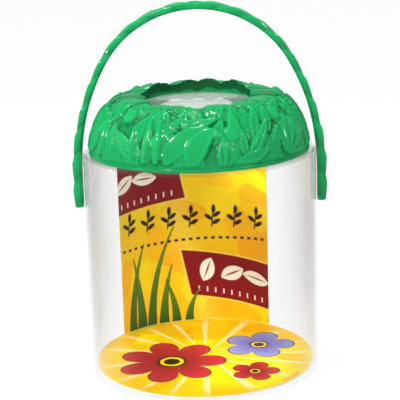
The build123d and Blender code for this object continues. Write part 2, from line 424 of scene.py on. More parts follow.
# Leaves whose tips reach over the opening: root, length, width and rise, then how they differ
CROWN_COUNT = 14
CROWN_ROOT = 31.0
CROWN_LENGTH = 15.5
CROWN_WIDTH = 15.5
CROWN_RISE = 0.55
CROWN_HEADING_SWAY, CROWN_HEADING_PACE = 14, 1.7
CROWN_BEARING_SWAY, CROWN_BEARING_PACE = 0.25, 2.9
CROWN_REACH_SWAY, CROWN_REACH_PACE = 0.16, 1.9
CROWN_TELL_PACE = 4.3

# Outlines: powers that place the widest point and round the ends
LEAF_ENDS = 1e-4
LEAF_POWERS = {"blade": (0.6, 0.8), "fern": (0.8, 0.7), "broad": (0.78, 0.7), "arch": (0.78, 0.7)}
FROND_COUNT = 6
FROND_NOTCH = 0.38
FROND_POWER = 0.6
FAN_LENGTH = 1.25
FAN_SPREAD = 2.6


def leaf_width(kind, t):
    """Half-width along a leaf, root to tip, as a share of its widest."""
    t = np.clip(t, LEAF_ENDS, 1 - LEAF_ENDS)
    if kind == "fan":
        return np.sqrt(np.clip(t * (FAN_LENGTH - t) * FAN_SPREAD, 0, 1))
    if kind == "bud":
        return 2 * np.sqrt(t * (1 - t))
    place, ends = LEAF_POWERS[kind]
    width = np.sin(math.pi * t**place) ** ends
    if kind == "fern":
        fronds = np.abs(np.sin(math.pi * FROND_COUNT * t)) ** FROND_POWER
        width = width * (1 - FROND_NOTCH + FROND_NOTCH * fronds)
    return width


# Heights of a leaf as shares of its rise, and widths in millimetres
LEAF_EDGE_MM = 1.1
LEAF_LEAST_MM = 1e-3
BUD_HEIGHT = 2.0
ROOT_HEIGHT = 0.5
CROSS_HEIGHT = 0.4
TIP_HEIGHT = 0.55
RIB_MM = 0.55
RIB_LENGTH = 1.1
GROOVE_DEPTH = 0.42
BLADE_RIB = 0.25
FAN_FOLDS = 15
FAN_FOLD_HEIGHT = 0.22
FAN_FOLD_START = 3
FAN_ROOT = 0.05
ARCH_EDGE = 0.3
ARCH_HOLLOW = 0.25
VEIN_PITCH_MM = 2.7
VEIN_SLANT = 0.9
VEIN_HEIGHT = 0.07
VEIN_REACH = 0.8


def leaf_relief(kind, across, along, length, width, rise):
    """Height of one leaf over the lid's skin, in millimetres, and 0 outside its edge."""
    t = along / length
    half = 0.5 * width * leaf_width(kind, t)
    share = np.clip(np.abs(across) / np.maximum(half, LEAF_LEAST_MM), 0, 1)
    middle = 1 - share**2
    ends = np.minimum(t, 1 - t) * length
    edge = np.clip(np.minimum(half - np.abs(across), ends) / LEAF_EDGE_MM, 0, 1)
    edge = edge * edge * (3 - 2 * edge)
    if kind == "bud":
        return BUD_HEIGHT * rise * np.sqrt(middle) * edge
    body = ROOT_HEIGHT + CROSS_HEIGHT * middle + TIP_HEIGHT * np.clip(t, 0, 1)
    rib = np.exp(-((across / RIB_MM) ** 2)) * np.clip(RIB_LENGTH - t, 0, 1)
    if kind == "fan":
        bearing = np.arctan2(across, along + FAN_ROOT * length)
        body = body + FAN_FOLD_HEIGHT * np.cos(bearing * FAN_FOLDS) * np.clip(FAN_FOLD_START * t, 0, 1)
    elif kind == "arch":
        body = body + ARCH_EDGE * share**2 - ARCH_HOLLOW * middle
    elif kind == "blade":
        body = body + BLADE_RIB * rib
    else:
        veins = np.cos(2 * math.pi * (along - VEIN_SLANT * np.abs(across)) / VEIN_PITCH_MM)
        body = body - GROOVE_DEPTH * rib + VEIN_HEIGHT * veins * (share < VEIN_REACH)
    return rise * body * edge


def leaf_place(side, rise, heading, bend, length):
    """Distances across and along a leaf whose middle line starts upward at a heading and bends evenly."""
    lean = math.radians(heading)
    along = side * math.sin(lean) + rise * math.cos(lean)
    across = side * math.cos(lean) - rise * math.sin(lean)
    if abs(bend) < 1:
        return across, along
    radius = length / math.radians(bend)
    hand = math.copysign(1, radius)
    apart = np.hypot(across - radius, along)
    turn = np.arctan2(along, (radius - across) * hand)
    return hand * (abs(radius) - apart), abs(radius) * turn


def row_leaves(rows, clear_front):
    """Leaves in rows round the lid, with swinging headings and sizes that vary from one to the next."""
    leaves = []
    for height, count, length, width, swing, rise, kinds in rows:
        for number in range(count):
            spacing = number + BEARING_SWAY * math.sin(BEARING_PACE * number + height)
            bearing = 360 * spacing / count
            if clear_front and abs((bearing - FRONT_BEARING + 180) % 360 - 180) < FRONT_REACH:
                continue
            kind = kinds[number % len(kinds)]
            heading = swing * math.sin(HEADING_PACE * number + count)
            bend = BEND_SWAY * math.sin(BEND_PACE * number + height)
            size = 1 + SIZE_SWAY * math.sin(SIZE_PACE * number + height)
            root = height + ROOT_SWAY * math.sin(ROOT_PACE * number)
            long = width if kind == "bud" else length
            leaves.append((bearing, root, heading, bend, long * size, width * size, kind, rise))
    return leaves


def crown_bearing(number):
    """Bearing in degrees of one of the leaves whose tips reach over the opening."""
    return 360 * (number + CROWN_BEARING_SWAY * math.sin(CROWN_BEARING_PACE * number)) / CROWN_COUNT


def lid_leaves():
    """Every leaf of the lid, from the fill to those in front."""
    leaves = row_leaves(FILL_ROWS, False) + row_leaves(BOLD_ROWS, True)
    for number in range(CROWN_COUNT):
        heading = CROWN_HEADING_SWAY * math.sin(CROWN_HEADING_PACE * number)
        root = (crown_bearing(number), CROWN_ROOT, heading, 0)
        leaves.append((*root, CROWN_LENGTH, CROWN_WIDTH, "broad", CROWN_RISE))
    for bearing, *rest in FRONT_LEAVES:
        leaves.append((bearing + FRONT_BEARING, *rest))
    return leaves


# Lid

# Lid sizes, in millimetres
LIP_RADIUS = 60.1
LIP_HEIGHT = 1.8
LIP_STEP = 0.3
LIP_EDGE = 0.1
BROW = (51.5, LIP_Z + 22.3)
SIDE_CONTROL = (58.45, LIP_Z + 13.2)
BROW_CONTROL = (46.3, LIP_Z + 29.2)
CREST = (38.0, LIP_Z + 29.3)
RIM_CONTROL = (35.0, CREST[1] + 0.1)
RIM = (31.6, LIP_Z + 28.6)
OPENING_RADIUS = 31.0
LENS_SEAT_Z = LIP_Z + 23.5
SEAT_EDGE = 0.8
TUBE_BORE = 33.55
TUBE_OUTER = 35.15
TUBE_FOOT = LIP_Z + 18.0
TUBE_ROOT_DROP = 0.4
LID_WALL = 1.8
INSIDE_STEP = 1.6
INSIDE_BROW_RISE = 2.6
INSIDE_BROW_DROP = 0.9
SKIRT_BORE = 53.25
SKIRT_OUTER = 54.85
SKIRT_FOOT = LIP_Z + 1.5
SKIRT_INNER_ROOT = LIP_Z + 16.5
SKIRT_OUTER_ROOT = LIP_Z + 13.0
LID_ROUND = 0.3

# Points up the side, over the brow, over the crest and round the lid
SIDE_ROWS = 80
BROW_ROWS = 56
CREST_ROWS = 30
AROUND = 960

# Leaf heights over the skin: scale, passes of rounding, and the reach in which they start at the lip
RELIEF_SCALE = 1.35
LEAF_ROUNDING = 2
LIP_FADE = 2.2

# Leaf tips round the opening, in millimetres: reach over it, rise at the back and dip in front
LEAN_START = CREST[0] + 3
LEAN_POWER = 1.5
TIP_REACH = 1.5
TIP_REACH_SIDES = 1.8
TIP_REACH_BACK = -1.0
BACK_GAIN = 1.3
BACK_POWER = 0.7
BACK_RISE = 2.2
BACK_RISE_SPREAD = 0.7
BACK_RISE_LOBES = 1.6
FRONT_RISE_LOBES = 1.1
FRONT_DIP = 1.7

# Wall of the opening, in millimetres: depths of its rows under the tips, and how the leaves hang over it
OPENING_DROPS = (0.35, 0.7, 1.4, 2.2, 3.0, 3.7, 4.4, 5.1, 5.8, 6.6)
OPENING_FOOT = LENS_SEAT_Z + 0.9
TIP_DEPTH = 1.0
TIP_BULGE = 0.3
TIP_UNDERCUT = 0.1
HANG_DEPTH = 4.2
HANG_DEPTH_LOBES = 1.5
HANG_FADE = 0.7
HANG_THICKNESS = 0.5
HANG_SPREAD = 0.35

# Tone of the green, 0 to 1, as painted shade that goes out with each point: lighter on raised leaves,
# ridges and near the lip, darker in hollows and creases, dark on the tips that hang over the opening
TONE_SKIN = 0.5
TONE_BY_HEIGHT = 0.18
TONE_BY_EDGE = 0.9
TONE_EDGE_PASSES = 12
TONE_NEAR_LIP = 0.15
TONE_LIP_REACH = 4
TONE_OPENING = 0.6
TONE_HANG_FROM = 0.3
TONE_LIP = 0.7
TONE_LIP_ROWS = 6


def around_from(bearing, azimuth):
    """Turn from an azimuth in degrees, between half a turn either way, in radians."""
    return (bearing - math.radians(azimuth) + math.pi) % (2 * math.pi) - math.pi


def rim_leaves(bearing):
    """Leaf tips round the opening: reach over it as a share, and a number that tells the leaves apart."""
    lobes = np.zeros_like(bearing)
    owner = np.zeros_like(bearing)
    for number in range(CROWN_COUNT):
        apart = np.abs(around_from(bearing, crown_bearing(number))) * OPENING_RADIUS
        share = np.clip(apart / (0.5 * CROWN_WIDTH), 0, 1)
        lobe = np.sqrt(1 - share**2) * (1 + CROWN_REACH_SWAY * math.sin(CROWN_REACH_PACE * number))
        owner = np.where(lobe > lobes, number, owner)
        lobes = np.maximum(lobes, lobe)
    return lobes, np.sin(CROWN_TELL_PACE * owner)


def soften(height, times):
    """Rounds the leaves' edges as a mould does, by averaging with the neighbours."""
    for _ in range(times):
        rows = np.concatenate([height[:1], height, height[-1:]])
        height = 0.5 * height + 0.25 * (rows[:-2] + rows[2:])
        height = 0.5 * height + 0.25 * (np.roll(height, 1, axis=1) + np.roll(height, -1, axis=1))
    return height


def lid_skin():
    """Section of the leafy skin, lip to opening: its points, the reach along it and its slope."""
    lip = (LIP_RADIUS - LIP_STEP, LIP_Z + LIP_HEIGHT)
    skin = np.concatenate(
        [
            bezier(lip, SIDE_CONTROL, BROW, SIDE_ROWS),
            bezier(BROW, BROW_CONTROL, CREST, BROW_ROWS),
            bezier(CREST, RIM_CONTROL, RIM, CREST_ROWS),
        ]
    )
    steps = np.linalg.norm(np.diff(skin, axis=0), axis=1)
    reach = np.concatenate([[0], np.cumsum(steps)])[:, None]
    slope = np.gradient(skin, axis=0)
    slope /= np.linalg.norm(slope, axis=1)[:, None]
    return skin, reach, slope


def lid_inside():
    """Closed rest of the lid's section, from the opening round by the lens tube and skirt to the lip."""
    wall_radius = LIP_RADIUS - LIP_STEP - LID_WALL
    corners = [
        (OPENING_RADIUS, LENS_SEAT_Z + SEAT_EDGE),
        (OPENING_RADIUS, LENS_SEAT_Z),
        (TUBE_BORE, LENS_SEAT_Z),
        (TUBE_BORE, TUBE_FOOT),
        (TUBE_OUTER, TUBE_FOOT),
        (TUBE_OUTER, CREST[1] - LID_WALL - TUBE_ROOT_DROP),
        (CREST[0], CREST[1] - LID_WALL),
        (BROW_CONTROL[0] - INSIDE_STEP, BROW[1] + INSIDE_BROW_RISE),
        (BROW[0] - INSIDE_STEP, BROW[1] - INSIDE_BROW_DROP),
        (SKIRT_BORE, SKIRT_INNER_ROOT),
        (SKIRT_BORE, SKIRT_FOOT),
        (SKIRT_OUTER, SKIRT_FOOT),
        (SKIRT_OUTER, SKIRT_OUTER_ROOT),
        (wall_radius, LIP_Z + LIP_HEIGHT),
        (wall_radius, LIP_Z),
        (LIP_RADIUS, LIP_Z),
        (LIP_RADIUS, LIP_Z + LIP_HEIGHT - LIP_EDGE),
    ]
    return softened(corners, LID_ROUND)


def leaf_cover(skin, reach, bearing):
    """Height of all the leaves over the lid's skin, in millimetres."""
    height = np.zeros((len(skin), AROUND))
    for azimuth, root, heading, bend, length, width, kind, rise in lid_leaves():
        side = around_from(bearing, azimuth) * skin[:, :1]
        across, along = leaf_place(side, reach - root, heading, bend, length)
        height = np.maximum(height, leaf_relief(kind, across, along, length, width, rise))
    return RELIEF_SCALE * soften(height, LEAF_ROUNDING) * np.clip(reach / LIP_FADE, 0, 1)


def rim_moves(bearing, lobes, unlike):
    """How far the leaf tips round the opening move in over it, and up."""
    back = np.clip(np.sin(bearing) * BACK_GAIN, 0, 1) ** BACK_POWER
    front = np.clip(-np.sin(bearing), 0, 1)
    move_in = lobes * (TIP_REACH + TIP_REACH_SIDES * np.cos(bearing) ** 2 + TIP_REACH_BACK * back)
    back_up = BACK_RISE + BACK_RISE_SPREAD * unlike + BACK_RISE_LOBES * lobes
    return move_in, back * back_up + front * (FRONT_RISE_LOBES * lobes - FRONT_DIP)


def lid_shape():
    """The lid: a leafy skin from the lip to the opening, then the plain inside with skirt and lens tube."""
    skin, reach, slope = lid_skin()
    inside = lid_inside()
    bearing = np.linspace(-math.pi, math.pi, AROUND, endpoint=False)
    height = leaf_cover(skin, reach, bearing)
    lobes, unlike = rim_leaves(bearing)
    move_in, move_up = rim_moves(bearing, lobes, unlike)
    lean_in = np.clip((LEAN_START - skin[:, :1]) / (LEAN_START - RIM[0]), 0, 1) ** LEAN_POWER
    radius = skin[:, :1] + slope[:, 1:] * height - lean_in**2 * move_in
    level = skin[:, 1:] - slope[:, :1] * height + lean_in * move_up

    drop = np.array(OPENING_DROPS)[:, None]
    hang = np.clip((HANG_DEPTH + HANG_DEPTH_LOBES * lobes - drop) / HANG_FADE, 0, 1)
    wall = OPENING_RADIUS - hang * (HANG_THICKNESS + HANG_SPREAD * unlike)
    wall = np.maximum(wall, radius[-1] + TIP_UNDERCUT)
    wall = np.where(drop < TIP_DEPTH, radius[-1] - TIP_BULGE, wall)
    wall_level = np.maximum(level[-1] - drop, OPENING_FOOT)
    radius = np.concatenate([radius, wall, inside[:, :1] + 0 * bearing])
    level = np.concatenate([level, wall_level, inside[:, 1:] + 0 * bearing])

    # Painted shade: tone by leaf height and ridges, lifted near the lip, dark on the hanging tips and
    # inside, lighter on the wall below the tips
    tone = np.zeros_like(radius)
    crisp = height - soften(height, TONE_EDGE_PASSES)
    near_lip = np.clip(1 - reach / TONE_LIP_REACH, 0, 1)
    on_skin, on_wall = slice(len(skin)), slice(len(skin), len(skin) + len(drop))
    tone[on_skin] = TONE_SKIN + TONE_BY_HEIGHT * height + TONE_BY_EDGE * crisp + TONE_NEAR_LIP * near_lip
    tone[on_wall] = np.where(hang > TONE_HANG_FROM, 0.0, TONE_OPENING)
    tone[-TONE_LIP_ROWS:] = TONE_LIP
    rows = np.stack([radius * np.cos(bearing), radius * np.sin(bearing), level], axis=-1)
    return grid_mesh("leafy_lid", rows, tone)


# Handle

# Handle sizes, in millimetres
STRAP_THICKNESS = 4.0
STRAP_WIDTH = 10.0
STRAP_GAP = 1.5
LEG_X = JAR_RADIUS + STRAP_GAP + STRAP_THICKNESS / 2
HANDLE_RISE = 82.0
CROWN_INSET = 8.7
SPRING_DROP = 9.0
LEG_REACH = 25
LEG_FADE = 30
LEG_SWELL = 0.5
HAUNCH_SLIM = 0.5
FOOT_ROUND = 0.8

# Shares of the strap's half-width and half-thickness
BEVEL_WIDTH = 0.85
BEVEL_DEPTH = 0.45
SIDE_WAIST = 0.14
FOOT_LEAST = 0.02

# Points along half the handle, and along half its section from corner to corner
STATIONS = 760
SECTION_STEPS = (4, 4, 20, 4)

# Leaf scales along the strap: pitch, rise and sink in millimetres, then shares and a power, and the share
# of painted shade in the creases
SCALE_PITCH = 14.0
SCALE_RISE = 0.8
SCALE_SINK = 0.25
SCALE_STAGGER = 0.25
SCALE_SLANT = 0.14
SCALE_CREST = 0.7
SCALE_POWER = 0.7
SCALE_CREASE_SHADE = 0.5


def handle_line():
    """Centre line of half the handle, foot to crown: columns of its reach, X, Z and turn."""
    crown_radius = LEG_X - CROWN_INSET
    crown_z = PIVOT_Z + HANDLE_RISE
    spring_z = PIVOT_Z - SPRING_DROP
    centre_rise = crown_z - crown_radius - spring_z
    haunch_radius = (LEG_X**2 + centre_rise**2 - crown_radius**2) / (2 * CROWN_INSET)
    haunch_turn = math.asin(centre_rise / (haunch_radius - crown_radius))
    leg = spring_z - HANDLE_FOOT
    haunch = haunch_radius * haunch_turn
    total = leg + haunch + crown_radius * (math.pi / 2 - haunch_turn)
    reach = np.linspace(0, total, STATIONS)[:, None]
    turn = np.clip((reach - leg) / haunch_radius, 0, haunch_turn)
    turn = turn + np.clip((reach - leg - haunch) / crown_radius, 0, None)
    parts = [reach < leg, reach < leg + haunch]
    x = [LEG_X + 0 * reach, LEG_X - haunch_radius * (1 - np.cos(turn))]
    z = [HANDLE_FOOT + reach, spring_z + haunch_radius * np.sin(turn)]
    x = np.select(parts, x, crown_radius * np.cos(turn))
    z = np.select(parts, z, crown_z - crown_radius + crown_radius * np.sin(turn))
    return reach, x, z, turn


def strap_section():
    """Round the strap's section: shares of its half-width and half-thickness, with bevelled edges."""
    half = [(1, -BEVEL_DEPTH), (1, BEVEL_DEPTH), (BEVEL_WIDTH, 1), (-BEVEL_WIDTH, 1)]
    corners = half + [(-width, -depth) for width, depth in half]
    points = [
        np.linspace(start, end, count, endpoint=False)
        for start, end, count in zip(corners, corners[1:] + corners[:1], SECTION_STEPS * 2)
    ]
    return np.concatenate(points).T


def handle_shape():
    """Vine-like strap: rounded feet, and staggered leaf scales that swell along its outside and edges."""
    reach, x, z, turn = handle_line()
    width, depth = strap_section()
    outer, inner = np.clip(depth, 0, 1), np.clip(-depth, 0, 1)
    foot = np.clip(reach / (0.5 * STRAP_WIDTH), 0, 1)
    foot = np.sqrt(np.clip(1 - (1 - foot) ** 2, 0, 1))
    above_leg = np.clip((reach - LEG_REACH) / LEG_FADE, 0, 1)
    total = reach[-1, 0]
    place = reach * round(total / SCALE_PITCH) / total + SCALE_STAGGER * width + SCALE_SLANT * depth
    along = place - np.floor(place)
    grow = np.clip(along / SCALE_CREST, 0, 1) ** SCALE_POWER
    swell = np.minimum(grow, np.clip((1 - along) / (1 - SCALE_CREST), 0, 1))
    shift = 0.5 * STRAP_THICKNESS * depth
    shift = shift + outer * (SCALE_RISE * swell - SCALE_SINK - HAUNCH_SLIM * above_leg)
    shift = shift - inner * LEG_SWELL * (1 - above_leg)
    shift = shift * np.sqrt(np.clip(reach / FOOT_ROUND, FOOT_LEAST, 1))
    side = 0.5 * STRAP_WIDTH * width * (1 - SIDE_WAIST + SIDE_WAIST * swell) * np.maximum(foot, FOOT_LEAST)
    right = np.stack([x + np.cos(turn) * shift, side, z + np.sin(turn) * shift], axis=-1)
    left = right[-2::-1] * np.array([-1, 1, 1])
    rows = np.concatenate([right, left])
    # Painted shade: the tone is darker in the creases between leaf scales
    tone = 1 - SCALE_CREASE_SHADE + SCALE_CREASE_SHADE * np.concatenate([swell, swell[-2::-1]])
    piece = grid_mesh("vine_handle", rows, tone)
    drop_bridge(piece, len(rows), rows.shape[1])
    return piece


def drop_bridge(piece, stations, around):
    """Takes out the faces that would join the two feet, and closes each foot with its own cap."""
    shape = bmesh.new()
    shape.from_mesh(piece.data)
    shape.verts.ensure_lookup_table()
    first = set(range(around))
    last = set(range((stations - 1) * around, stations * around))
    bridge = []
    for face in shape.faces:
        corners = {vert.index for vert in face.verts}
        if corners & first and corners & last:
            bridge.append(face)
    bmesh.ops.delete(shape, geom=bridge, context="FACES")
    for ring in (first, last):
        bmesh.ops.contextual_create(shape, geom=[shape.verts[number] for number in sorted(ring)])
    bmesh.ops.recalc_face_normals(shape, faces=shape.faces)
    shape.to_mesh(piece.data)
    shape.free()
    piece.data.shade_smooth()


# Clear pieces

# Jar sizes, in millimetres. Spun pieces stop a pin's radius short of their axis
PIN = 0.02
JAR_WALL = 1.3
NECK_RADIUS = 53.0
NECK_WALL = 1.6
FOOT_EDGE = 0.8
FOOT_CHAMFER = 0.24
FOOT_HEIGHT = 0.8
FOOT_RING = 4.2
FOOT_RING_TOP = 4.0
SHOULDER_EDGE = 1.8
SHOULDER_CHAMFER = 0.5
WALL_RINGS = (30.0, 60.0, 90.0)
JAR_ROUND = 0.25
JAR_AROUND = 256


def jar_shape():
    """Clear jar: foot ring, floor, straight wall, shoulder and neck, bonded into one see-through piece."""
    bore = JAR_RADIUS - JAR_WALL
    neck_bore = NECK_RADIUS - NECK_WALL
    corners = [
        (JAR_RADIUS - FOOT_EDGE, 0.0),
        (JAR_RADIUS - FOOT_CHAMFER, FOOT_CHAMFER),
        (JAR_RADIUS, FOOT_EDGE),
        *((JAR_RADIUS, height) for height in WALL_RINGS),
        (JAR_RADIUS, LIP_Z - SHOULDER_EDGE),
        (JAR_RADIUS - SHOULDER_CHAMFER, LIP_Z - SHOULDER_CHAMFER),
        (JAR_RADIUS - SHOULDER_EDGE, LIP_Z),
        (NECK_RADIUS, LIP_Z),
        (NECK_RADIUS, NECK_TOP),
        (neck_bore, NECK_TOP),
        (neck_bore, LIP_Z - NECK_WALL),
        (bore, LIP_Z - NECK_WALL),
        *((bore, height) for height in WALL_RINGS[::-1]),
        (bore, FLOOR_Z),
        (PIN, FLOOR_Z),
        (PIN, FOOT_HEIGHT),
        (JAR_RADIUS - FOOT_RING_TOP, FOOT_HEIGHT),
        (JAR_RADIUS - FOOT_RING, 0.0),
    ]
    return spun("clear_jar", softened(corners, JAR_ROUND), JAR_AROUND)


# Peg sizes, in millimetres
BOSS_RADIUS = 3.2
BOSS_HEIGHT = 1.15
PEG_RADIUS = 2.4
PEG_ROOT = 1.2
PEG_SINK = 0.5
PEG_ROUND = 0.15
PEG_AROUND = 48


def peg_shape(side):
    """One clear peg that the handle turns on, with its low boss, standing out of the jar's wall."""
    tip = PEG_TIP - JAR_RADIUS + PEG_SINK
    corners = [
        (PIN, 0.0),
        (BOSS_RADIUS, 0.0),
        (BOSS_RADIUS, BOSS_HEIGHT),
        (PEG_RADIUS, PEG_ROOT),
        (PEG_RADIUS, tip),
        (PIN, tip),
    ]
    name = "clear_peg_right" if side > 0 else "clear_peg_left"
    piece = spun(name, softened(corners, PEG_ROUND), PEG_AROUND)
    turn = Matrix.Rotation(side * math.pi / 2, 4, "Y")
    root = (side * (JAR_RADIUS - PEG_SINK) * MM, 0, PIVOT_Z * MM)
    piece.data.transform(Matrix.Translation(root) @ turn)
    return piece


# Lens sizes, in millimetres
LENS_TOP_RADIUS = OPENING_RADIUS - 1.0
LENS_TOP_CURVE = 400.0
LENS_TOP_STEP = 2.4
LENS_TOP_ROUND = 0.5
LENS_DOME_RADIUS = OPENING_RADIUS - 0.5
LENS_DOME_CURVE = 115.0
FLANGE_THICKNESS = 2.5
LENS_ROUND_STEPS = 6
LENS_CAP_STEPS = 40
LENS_AROUND = 160


def cap(radius, curve):
    """Section of a round cap from its edge to the axis: radius and rise over the edge."""
    steps = np.linspace(radius, PIN, LENS_CAP_STEPS)
    rise = np.sqrt(curve**2 - steps**2) - math.sqrt(curve**2 - radius**2)
    return np.stack([steps, rise], axis=-1)


def lens_shape():
    """Clear magnifier: a flange, a nearly flat crown that stands up into the opening and a dome below."""
    seat, foot, top = LENS_SEAT_Z, LENS_SEAT_Z - FLANGE_THICKNESS, LENS_SEAT_Z + LENS_TOP_STEP
    flange = [(LENS_DOME_RADIUS, foot), (LENS_RADIUS, foot), (LENS_RADIUS, seat), (LENS_TOP_RADIUS, seat)]
    turn = np.linspace(0, math.pi / 2, LENS_ROUND_STEPS)
    edge = np.stack([np.cos(turn) - 1, np.sin(turn) - 1], axis=-1) * LENS_TOP_ROUND + (LENS_TOP_RADIUS, top)
    above = cap(LENS_TOP_RADIUS - LENS_TOP_ROUND, LENS_TOP_CURVE) + (0, top)
    below = cap(LENS_DOME_RADIUS, LENS_DOME_CURVE) * (1, -1) + (0, foot)
    return spun("lens_glass", np.concatenate([flange, edge, above[1:], below[:0:-1]]), LENS_AROUND)


# Prints

def both(first, second):
    """Distance outside what two shapes share."""
    return first.math("MAXIMUM", second)


def either(first, second):
    """Distance outside two shapes taken as one."""
    return first.math("MINIMUM", second)


def length(first, second):
    """Length of a step with these two parts."""
    return (first * first + second * second).math("SQRT")


def band(value, low, high):
    """Distance outside a band of values."""
    return abs(value - (low + high) / 2) - (high - low) / 2


def stripes(value, pitch, wide):
    """Distance outside stripes that repeat at a pitch."""
    return abs(value % pitch - pitch / 2) - wide / 2


def turned(across, along, turn):
    """Two coordinates turned by an angle in degrees."""
    cos, sin = math.cos(math.radians(turn)), math.sin(math.radians(turn))
    return across * cos + along * sin, along * cos - across * sin


def oval(across, along, turn, long, wide):
    """Distance outside an oval at the origin of its two coordinates, turned by an angle in degrees."""
    first, second = turned(across, along, turn)
    return (length(first / (long / 2), second / (wide / 2)) - 1) * (wide / 2)


def pointed(across, along, turn, long, wide):
    """Distance outside a leaf with two pointed ends, turned by an angle in degrees."""
    curve = (long**2 + wide**2) / (4 * wide)
    first, second = turned(across, along, turn)
    return length(first, abs(second) + (curve - wide / 2)) - curve


def shards(across, along, size):
    """A number from 0 to 1 that is even over each of many straight-edged shards."""
    finish = across.finish
    spot = finish.node("ShaderNodeCombineXYZ", {0: across / size, 1: along / size})
    sockets = {"Vector": spot, "Scale": 1.0}
    cells = finish.node("ShaderNodeTexVoronoi", sockets, out="Color", voronoi_dimensions="2D")
    return finish.node("ShaderNodeSeparateColor", {0: cells})


# Both cards: widths of printed edges in millimetres, roughness of the fibre and ink of the plain side
BROAD_EDGE = 0.5
FINE_EDGE = 0.4
TICK_EDGE = 0.3
CARD_EDGE = 0.1
FIBRE_ROUGHNESS = 0.12
PLAIN_CARD = ink(238, 234, 222)


def printed_card(finish, coordinates, colour, roughness):
    """Satin card with a faint fibre grain."""
    fibre = finish.noise(coordinates, *FIBRE_MARKS)
    roughness = roughness + fibre * FIBRE_ROUGHNESS
    sockets = {"Base Color": colour, "Roughness": roughness, "Specular IOR Level": 0.2}
    return finish.surface(finish.principled(sockets))


# Wall card: ground inks, an ochre for painted shade to one side, and places and sizes in millimetres
WALL_PRINT_ROUGHNESS = 0.42
WALL_PRINT_RADIUS = 61.6
WALL_LEMON = ink(255, 228, 8)
WALL_ORANGE = ink(255, 182, 2)
WALL_SHADE_OCHRE = ink(236, 164, 12)
WALL_GLEAM = ink(255, 232, 90)
WALL_SHARD = 17.0
WALL_SHARD_LEAN = 0.35
WALL_SHARD_SLOPE = 0.2
SIDE_SHADE_START = -30.0
SIDE_SHADE_WIDTH = 75.0
SIDE_SHADE_SHARE = 0.5
GLEAM_LEAN = 0.25
GLEAM_PLACE = 2.0
GLEAM_HALF = 5.0
GLEAM_SOFT = 14.0
GLEAM_SHARE = 0.5

# Panels of the wall card: slope, low, high, left and right edges, then what they hold
PANELS = ((0.10, 78.0, 122.0, -60.0, 6.0), (-0.13, 15.0, 43.0, -4.0, 52.0))
PANEL_LEAN = 0.2
PANEL_BORDER = 1.0
PANEL_MARGIN = 3.0
PANEL_YELLOW = ink(255, 226, 70)
PANEL_MAROON = ink(138, 8, 22)
PANEL_CREAM = ink(255, 250, 236)
TICK_PITCH = 5.0
TICK_WIDTH = 0.8
TICK_LOW = 2.0
TICK_HIGH = 6.0
PANEL_LEAVES = 3
PANEL_LEAF_START = 13.0
PANEL_LEAF_PITCH = 15.0
PANEL_LEAF_LEVEL = 17.0
PANEL_LEAF_TURN = 62.0
PANEL_LEAF_TURN_STEP = 34.0
PANEL_LEAF = (17.0, 8.0)
PANEL_VEIN = (13.0, 0.9)

# Sprigs of the wall card: row, stem, and place and turn of each leaf, then the beads under them
SPRIG_BROWN = ink(44, 24, 10)
SPRIG_PITCH = 13.5
SPRIG_LEVEL = 64.0
STEM_LEAN = 0.12
STEM_WIDTH = 0.9
STEM_LENGTH = 10.8
SPRIG_LEAVES = ((2.6, 2.4, 35.0), (-2.4, 0.6, 145.0), (2.2, -2.2, 30.0), (0.7, 5.6, 88.0))
SPRIG_LEAF = (5.6, 2.5)
BEAD_PITCH = 4.5
BEAD_WIDTH = 2.2
BEAD_SLOPE = 0.03
BEAD_LOW = 50.7
BEAD_HIGH = 52.3

# Grass of the wall card: root, tip, lean and half-width of each blade
GRASS = (
    (-47, 52, 10, 2.8),
    (-40, 44, -5, 3.2),
    (-33, 60, 16, 2.8),
    (-25, 36, 6, 3.0),
    (-17, 27, -6, 2.6),
    (-9, 20, 7, 2.4),
)
GRASS_ROOT = ink(44, 98, 30)
GRASS_TIP = ink(112, 150, 44)
GRASS_DARK = ink(30, 60, 20)
GRASS_OUTLINE = 0.35


def wall_ground(finish, u, v):
    """Yellow and orange shards with painted shade that darkens them to one side, and a soft gleam down the
    middle.
    """
    shard = shards(u + v * WALL_SHARD_LEAN, v - u * WALL_SHARD_SLOPE, WALL_SHARD)
    # Painted shade: the shards darken towards ochre to one side
    painted_side_shade = finish.clamp((u - SIDE_SHADE_START) / SIDE_SHADE_WIDTH)
    colour = finish.mix(shard, WALL_LEMON, WALL_ORANGE)
    colour = finish.mix(painted_side_shade * shard * SIDE_SHADE_SHARE, colour, WALL_SHADE_OCHRE)
    gleam = finish.inside(abs(u + v * GLEAM_LEAN - GLEAM_PLACE) - GLEAM_HALF, GLEAM_SOFT)
    return finish.mix(gleam * GLEAM_SHARE, colour, WALL_GLEAM)


def wall_panel(finish, colour, u, v, slope, low, high, left, right):
    """A slanted maroon panel with a yellow border, a row of ticks and pale leaves."""
    level = v - u * slope
    side = u + v * PANEL_LEAN
    away = both(band(level, low, high), band(side, left, right))
    colour = finish.over(colour, away - PANEL_BORDER, BROAD_EDGE, PANEL_YELLOW)
    colour = finish.over(colour, away, BROAD_EDGE, PANEL_MAROON)
    ticks = both(stripes(u, TICK_PITCH, TICK_WIDTH), band(level, low + TICK_LOW, low + TICK_HIGH))
    colour = finish.over(colour, both(ticks, away + PANEL_MARGIN), TICK_EDGE, PANEL_CREAM)
    for number in range(PANEL_LEAVES):
        across = side - left - (PANEL_LEAF_START + PANEL_LEAF_PITCH * number)
        spot = (across, level - low - PANEL_LEAF_LEVEL, PANEL_LEAF_TURN - PANEL_LEAF_TURN_STEP * number)
        leaf = both(pointed(*spot, *PANEL_LEAF), -pointed(*spot, *PANEL_VEIN))
        colour = finish.over(colour, leaf, FINE_EDGE, PANEL_CREAM)
    return colour


